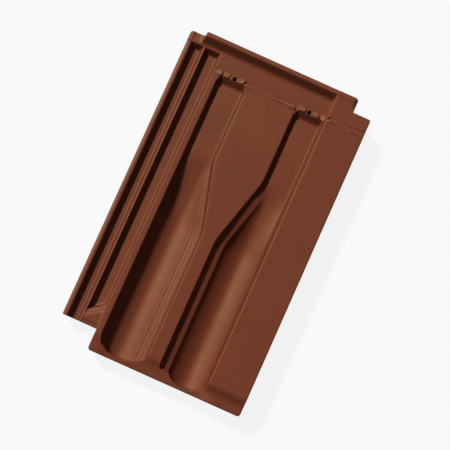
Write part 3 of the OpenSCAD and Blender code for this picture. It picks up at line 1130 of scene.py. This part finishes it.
@dataclass
class TileSkin:
    """The tile as one closed mesh: its face, its underside, and walls that join them round every edge."""

    sizes: TileSizes
    name: str = "tile"
    sharp_angle: float = math.radians(50.0)
    # The first mark is a painted highlight on bends, the second painted shade on steep walls.
    marks: tuple[str, str] = ("edge_highlight", "steep")
    mark_reach: float = 1.0
    least_bend: float = 0.08
    bend_run: float = 0.4
    # Slopes over which a wall is painted darker, as painted shade.
    steepness: Step = Step(0.65, 0.55)
    grid: PlanGrid = field(init=False)

    def __post_init__(self) -> None:
        """Lays out the plan grid."""
        self.grid = PlanGrid(self.sizes)

    def build(self, material: bpy.types.Material) -> bpy.types.Object:
        """Makes the mesh object.

        Args:
            material: Material of the tile.

        Returns:
            The object, untransformed.
        """
        grid = self.grid
        edge = grid.edge_distance()
        face = Face(self.sizes)
        top = face.heights(grid.across, grid.along, edge)
        bottom = Underside(self.sizes).heights(grid.across, grid.along, edge)
        points = np.concatenate([self._points(top), self._points(bottom)])
        faces = self._faces()
        used, corners = np.unique(faces, return_inverse=True)
        mesh = self._mesh(points[used], corners.reshape(faces.shape))
        for name, mark in zip(self.marks, self._mark(face, top, edge)):
            values = np.concatenate([mark.ravel(), np.zeros(bottom.size)])[used]
            mesh.attributes.new(name, "FLOAT", "POINT").data.foreach_set("value", values.astype(np.float32))
        mesh.materials.append(material)
        piece = bpy.data.objects.new(self.name, mesh)
        bpy.context.scene.collection.objects.link(piece)
        return piece

    def _points(self, height: Array) -> Array:
        """Places grid points in the shared frame.

        Args:
            height: Height of each grid point above the floor.

        Returns:
            The points in metres, one row each.
        """
        across = self.grid.across - 0.5 * self.sizes.width
        along = 0.5 * self.sizes.length - self.grid.along
        return np.stack([across, along, height], axis=-1).reshape(-1, 3) * MM

    def _faces(self) -> Array:
        """Lists the faces of both skins and of the walls between them.

        A wall stands wherever a kept cell has no kept neighbour.

        Returns:
            Four point numbers for each face, those of the lower skin after all of the upper one.
        """
        kept = self.grid.kept
        number = np.arange(self.grid.across.size).reshape(self.grid.across.shape)
        below = number.size
        here, right = number[:-1, :-1], number[:-1, 1:]
        down, across = number[1:, :-1], number[1:, 1:]
        upper = np.stack([here, down, across, right], axis=-1)[kept]
        parts = [upper, upper[:, ::-1] + below]
        padded = np.pad(kept, 1)
        sides = (
            (padded[:-2, 1:-1], right, here),
            (padded[2:, 1:-1], down, across),
            (padded[1:-1, :-2], here, down),
            (padded[1:-1, 2:], across, right),
        )
        for neighbour, start, end in sides:
            bare = kept & ~neighbour
            first, second = start[bare], end[bare]
            parts.append(np.stack([second, first, first + below, second + below], axis=-1))
        return np.concatenate(parts)

    def _mesh(self, points: Array, faces: Array) -> bpy.types.Mesh:
        """Makes the mesh data with smooth shading and sharp steep edges.

        Args:
            points: Places of the points.
            faces: Four point numbers for each face.

        Returns:
            The mesh.
        """
        mesh = bpy.data.meshes.new(self.name)
        mesh.vertices.add(len(points))
        mesh.vertices.foreach_set("co", points.astype(np.float32).ravel())
        mesh.loops.add(faces.size)
        mesh.loops.foreach_set("vertex_index", faces.astype(np.int32).ravel())
        mesh.polygons.add(len(faces))
        mesh.polygons.foreach_set("loop_start", np.arange(0, faces.size, 4, dtype=np.int32))
        mesh.update(calc_edges=True)
        mesh.validate()
        mesh.polygons.foreach_set("use_smooth", np.ones(len(mesh.polygons), dtype=bool))
        mesh.set_sharp_from_angle(angle=self.sharp_angle)
        return mesh

    def _mark(self, face: Face, height: Array, edge: Array) -> tuple[Array, Array]:
        """How far each grid point of the face lies on a bend, which is given a painted highlight, and on a
        steep wall, which is given painted shade.

        A bend is the difference from the mean height round the point, a wall's slope that across it.

        Args:
            face: The upper skin.
            height: Height of each grid point.
            edge: Distance of each grid point from the outline.

        Returns:
            The wear and the steepness, each from 0 to 1.
        """
        across, along, reach = self.grid.across, self.grid.along, self.mark_reach
        right = face.heights(across + reach, along, edge)
        left = face.heights(across - reach, along, edge)
        lower = face.heights(across, along + reach, edge)
        upper = face.heights(across, along - reach, edge)
        bend = np.abs(0.25 * (right + left + lower + upper) - height)
        slope = np.hypot(right - left, lower - upper) / (2.0 * reach)
        return np.clip((bend - self.least_bend) / self.bend_run, 0.0, 1.0), self.steepness.at(slope)


class Signal:
    """A shader socket that is reckoned with like a number."""

    def __init__(self, graph: "Graph", socket: bpy.types.NodeSocket) -> None:
        """Wraps an output socket of a graph."""
        self.graph = graph
        self.socket = socket

    def _reckon(self, operation: str, first: Any, second: Any) -> "Signal":
        """Adds a Math node on two operands."""
        return self.graph.signal("ShaderNodeMath", {"operation": operation}, {0: first, 1: second}, 0)

    def __add__(self, other: Any) -> "Signal":
        """The sum with a signal or a number."""
        return self._reckon("ADD", self, other)

    def __sub__(self, other: Any) -> "Signal":
        """This signal less another one or a number."""
        return self._reckon("SUBTRACT", self, other)

    def __mul__(self, other: Any) -> "Signal":
        """The product with a signal or a number."""
        return self._reckon("MULTIPLY", self, other)

    def __rsub__(self, other: Any) -> "Signal":
        """A number less this signal."""
        return self._reckon("SUBTRACT", other, self)

    __radd__ = __add__
    __rmul__ = __mul__


class Graph:
    """The node graph of a material or of the world."""

    def __init__(self, tree: bpy.types.NodeTree) -> None:
        """Empties the node tree that is to be filled."""
        self.tree = tree
        tree.nodes.clear()

    def node(self, kind: str, settings: dict[str, Any], sockets: dict[Any, Any]) -> bpy.types.Node:
        """Adds a node.

        Args:
            kind: Type of the node.
            settings: Values of its properties.
            sockets: Values of its inputs, by name or number: signals are linked, other values are set.

        Returns:
            The node.
        """
        made = self.tree.nodes.new(kind)
        for key, value in settings.items():
            setattr(made, key, value)
        for key, value in sockets.items():
            if isinstance(value, Signal):
                self.tree.links.new(value.socket, made.inputs[key])
            else:
                made.inputs[key].default_value = value
        return made

    def signal(self, kind: str, settings: dict[str, Any], sockets: dict[Any, Any], output: Any) -> Signal:
        """Adds a node, as the method above does, and takes one of its outputs by name or number."""
        return Signal(self, self.node(kind, settings, sockets).outputs[output])


class Grain(NamedTuple):
    """Noise on the engobe: its cells to the metre and its finer octaves."""

    scale: float
    detail: float


@dataclass(frozen=True)
class EngobeFinish:
    """A satin brown engobe on fired clay: its colours in linear light, its gloss and its grain.

    The spreads are for the clouds first and then for the specks. The lighter colour on bends is a painted
    highlight, and the darker one on steep walls is painted shade.
    """

    name: str = "engobed_clay"
    colour: tuple[float, float, float, float] = (0.169, 0.0340, 0.0160, 1.0)
    deep_colour: tuple[float, float, float, float] = (0.139, 0.0262, 0.0117, 1.0)
    # Painted highlight: a lighter colour along bends, standing in for the light lines that edges catch.
    highlight_colour: tuple[float, float, float, float] = (0.200, 0.050, 0.026, 1.0)
    # Painted shade: a darker, purplish colour for steep walls.
    steep_shade_colour: tuple[float, float, float, float] = (0.096, 0.0185, 0.0092, 1.0)
    sheen_tint: tuple[float, float, float, float] = (1.0, 0.94, 0.5, 1.0)
    roughness: float = 0.56
    roughness_spreads: tuple[float, float] = (0.16, 0.12)
    specular: float = 0.44
    cloud: Grain = Grain(21.0, 4.0)
    speck: Grain = Grain(320.0, 2.0)
    grit: Grain = Grain(1150.0, 3.0)
    noise_roughness: float = 0.55
    noise_mean: float = 0.5
    depth: float = 0.42
    depth_spreads: tuple[float, float] = (1.3, 1.9)
    steep_shade_share: float = 0.8
    highlight_share: float = 0.55
    highlight_spread: float = 0.4
    relief_spreads: tuple[float, float] = (2.0, 0.6)
    relief_strength: float = 0.35
    relief_height: float = 0.00035

    def _noise(self, graph: Graph, grain: Grain) -> Signal:
        """Adds noise that sits on the object.

        Args:
            graph: Graph of the material.
            grain: Size and detail of the noise.

        Returns:
            The noise, above and below 0.
        """
        places = graph.signal("ShaderNodeTexCoord", {}, {}, "Object")
        inputs = {
            "Vector": places,
            "Scale": grain.scale,
            "Detail": grain.detail,
            "Roughness": self.noise_roughness,
        }
        return graph.signal("ShaderNodeTexNoise", {}, inputs, "Fac") - self.noise_mean

    def _blend(self, graph: Graph, share: Signal, first: Any, second: Any) -> Signal:
        """Blends two colours, or signals of colour, by the share of the second."""
        return graph.signal("ShaderNodeMix", {"data_type": "RGBA"}, {0: share, 6: first, 7: second}, 2)

    def build(self, marks: tuple[str, str]) -> bpy.types.Material:
        """Makes the material.

        Args:
            marks: Names of the mesh attributes that mark bends, for the painted highlight, and steep walls,
                for the painted shade.

        Returns:
            The material.
        """
        material = bpy.data.materials.new(self.name)
        material.use_nodes = True
        graph = Graph(material.node_tree)
        cloud, speck, grit = (self._noise(graph, grain) for grain in (self.cloud, self.speck, self.grit))
        bend_highlight, steep = (
            graph.signal("ShaderNodeAttribute", {"attribute_name": mark}, {}, "Fac") for mark in marks
        )
        depth = cloud * self.depth_spreads[0] + speck * self.depth_spreads[1] + self.depth
        body = self._blend(graph, depth, self.colour, self.deep_colour)
        # Painted shade on steep walls.
        body = self._blend(graph, steep * self.steep_shade_share, body, self.steep_shade_colour)
        # Painted highlight along the bends, lighter in some clouds than in others.
        edge_highlight = bend_highlight * (cloud * self.highlight_spread + self.highlight_share)
        colour = self._blend(graph, edge_highlight, body, self.highlight_colour)
        matt = cloud * self.roughness_spreads[0] + speck * self.roughness_spreads[1] + self.roughness
        relief = cloud * self.relief_spreads[0] + speck * self.relief_spreads[1] + grit
        bump = graph.signal(
            "ShaderNodeBump",
            {},
            {"Strength": self.relief_strength, "Distance": self.relief_height, "Height": relief},
            "Normal",
        )
        shader = graph.signal(
            "ShaderNodeBsdfPrincipled",
            {},
            {
                "Base Color": colour,
                "Roughness": matt,
                "Specular IOR Level": self.specular,
                "Specular Tint": self.sheen_tint,
                "Normal": bump,
            },
            0,
        )
        graph.node("ShaderNodeOutputMaterial", {}, {"Surface": shader})
        return material


@dataclass(frozen=True)
class FloorFinish:
    """A matt floor that shows partly as plain white to the camera: its share of white and its colour."""

    name: str
    glow: float
    colour: tuple[float, float, float, float] = (0.6, 0.6, 0.6, 1.0)

    def build(self) -> bpy.types.Material:
        """Makes the material.

        Returns:
            The material.
        """
        material = bpy.data.materials.new(self.name)
        material.use_nodes = True
        graph = Graph(material.node_tree)
        seen = graph.signal("ShaderNodeLightPath", {}, {}, "Is Camera Ray")
        matt = graph.signal("ShaderNodeBsdfDiffuse", {}, {"Color": self.colour}, 0)
        white = graph.signal("ShaderNodeEmission", {}, {"Color": WHITE, "Strength": 1.0}, 0)
        shader = graph.signal("ShaderNodeMixShader", {}, {0: seen * self.glow, 1: matt, 2: white}, 0)
        graph.node("ShaderNodeOutputMaterial", {}, {"Surface": shader})
        return material


@dataclass
class Studio:
    """The pale floor, the soft light from the lock side and the camera over the tile."""

    towards_light: tuple[float, float, float] = (-0.65, 0.40, 0.645)
    key_strength: float = 4.3
    key_angle: float = math.radians(6.0)
    fill: float = 0.01
    sheen_fill: float = 0.28
    floor_reach: float = 6.0
    pale_floor: FloorFinish = FloorFinish("pale_floor", 0.88)
    shaded_floor: FloorFinish = FloorFinish("shaded_floor", 0.0)
    shaded_half: tuple[float, float] = (0.075, 0.19)
    target: tuple[float, float, float] = (0.01295, -0.00075, 0.02)
    distance: float = 2.0
    tilt: float = math.radians(4.87)
    roll: float = math.radians(24.165)
    lens: float = 127.47
    sensor: float = 36.0

    def build(self) -> None:
        """Makes the floor, the lights and the camera."""
        self._floor()
        self._lights()
        self._camera()
        bpy.context.scene.view_settings.view_transform = "Standard"

    def _floor(self) -> None:
        """Makes a floor that looks white, takes the tile's shadow, and is dark under its nail holes."""
        reach, (across, along) = self.floor_reach, self.shaded_half
        corners = [(x, y, 0.0) for x, y in ((-1, -1), (1, -1), (1, 1), (-1, 1))]
        outer = [(x * reach, y * reach, z) for x, y, z in corners]
        inner = [(x * across, y * along, z) for x, y, z in corners]
        ring = [(side, (side + 1) % 4, (side + 1) % 4 + 4, side + 4) for side in range(4)]
        mesh = bpy.data.meshes.new("floor")
        mesh.from_pydata(outer + inner, [], [*ring, (4, 5, 6, 7)])
        mesh.materials.append(self.pale_floor.build())
        mesh.materials.append(self.shaded_floor.build())
        mesh.polygons[len(ring)].material_index = 1
        floor = bpy.data.objects.new("floor", mesh)
        bpy.context.scene.collection.objects.link(floor)

    def _lights(self) -> None:
        """Makes the key light and the even fill of the world."""
        lamp = bpy.data.lights.new("key", "SUN")
        lamp.energy = self.key_strength
        lamp.angle = self.key_angle
        key = bpy.data.objects.new("key", lamp)
        key.rotation_euler = Vector(self.towards_light).to_track_quat("Z", "Y").to_euler()
        bpy.context.scene.collection.objects.link(key)
        world = bpy.data.worlds.new("studio")
        world.use_nodes = True
        graph = Graph(world.node_tree)
        path = graph.node("ShaderNodeLightPath", {}, {})
        seen, sheen = (Signal(graph, path.outputs[f"Is {kind} Ray"]) for kind in ("Camera", "Glossy"))
        strength = self.fill + seen * (1.0 - self.fill) + sheen * (self.sheen_fill - self.fill)
        air = graph.signal("ShaderNodeBackground", {}, {"Color": WHITE, "Strength": strength}, 0)
        graph.node("ShaderNodeOutputWorld", {}, {"Surface": air})
        bpy.context.scene.world = world

    def _camera(self) -> None:
        """Makes the camera, which looks down at the tile from a little towards its foot."""
        away = Vector((0.0, -math.sin(self.tilt), math.cos(self.tilt)))
        level = Vector((0.0, 1.0, 0.0)).cross(away).normalized()
        upright = away.cross(level)
        right = level * math.cos(self.roll) + upright * math.sin(self.roll)
        up = away.cross(right)
        data = bpy.data.cameras.new("camera")
        data.lens = self.lens
        data.sensor_width = self.sensor
        data.dof.use_dof = False
        camera = bpy.data.objects.new("camera", data)
        turn = Matrix((right, up, away)).transposed().to_4x4()
        camera.matrix_world = Matrix.Translation(Vector(self.target) + away * self.distance) @ turn
        bpy.context.scene.collection.objects.link(camera)
        bpy.context.scene.camera = camera


def main() -> None:
    """Builds the tile and its studio."""
    logging.basicConfig(level=logging.INFO)
    skin = TileSkin(TileSizes())
    tile = skin.build(EngobeFinish().build(skin.marks))
    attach(tile, "root")
    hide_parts("roof_tile")
    LOG.info("tile: %d faces", len(tile.data.polygons))
    Studio().build()


if __name__ == "__main__":
    main()
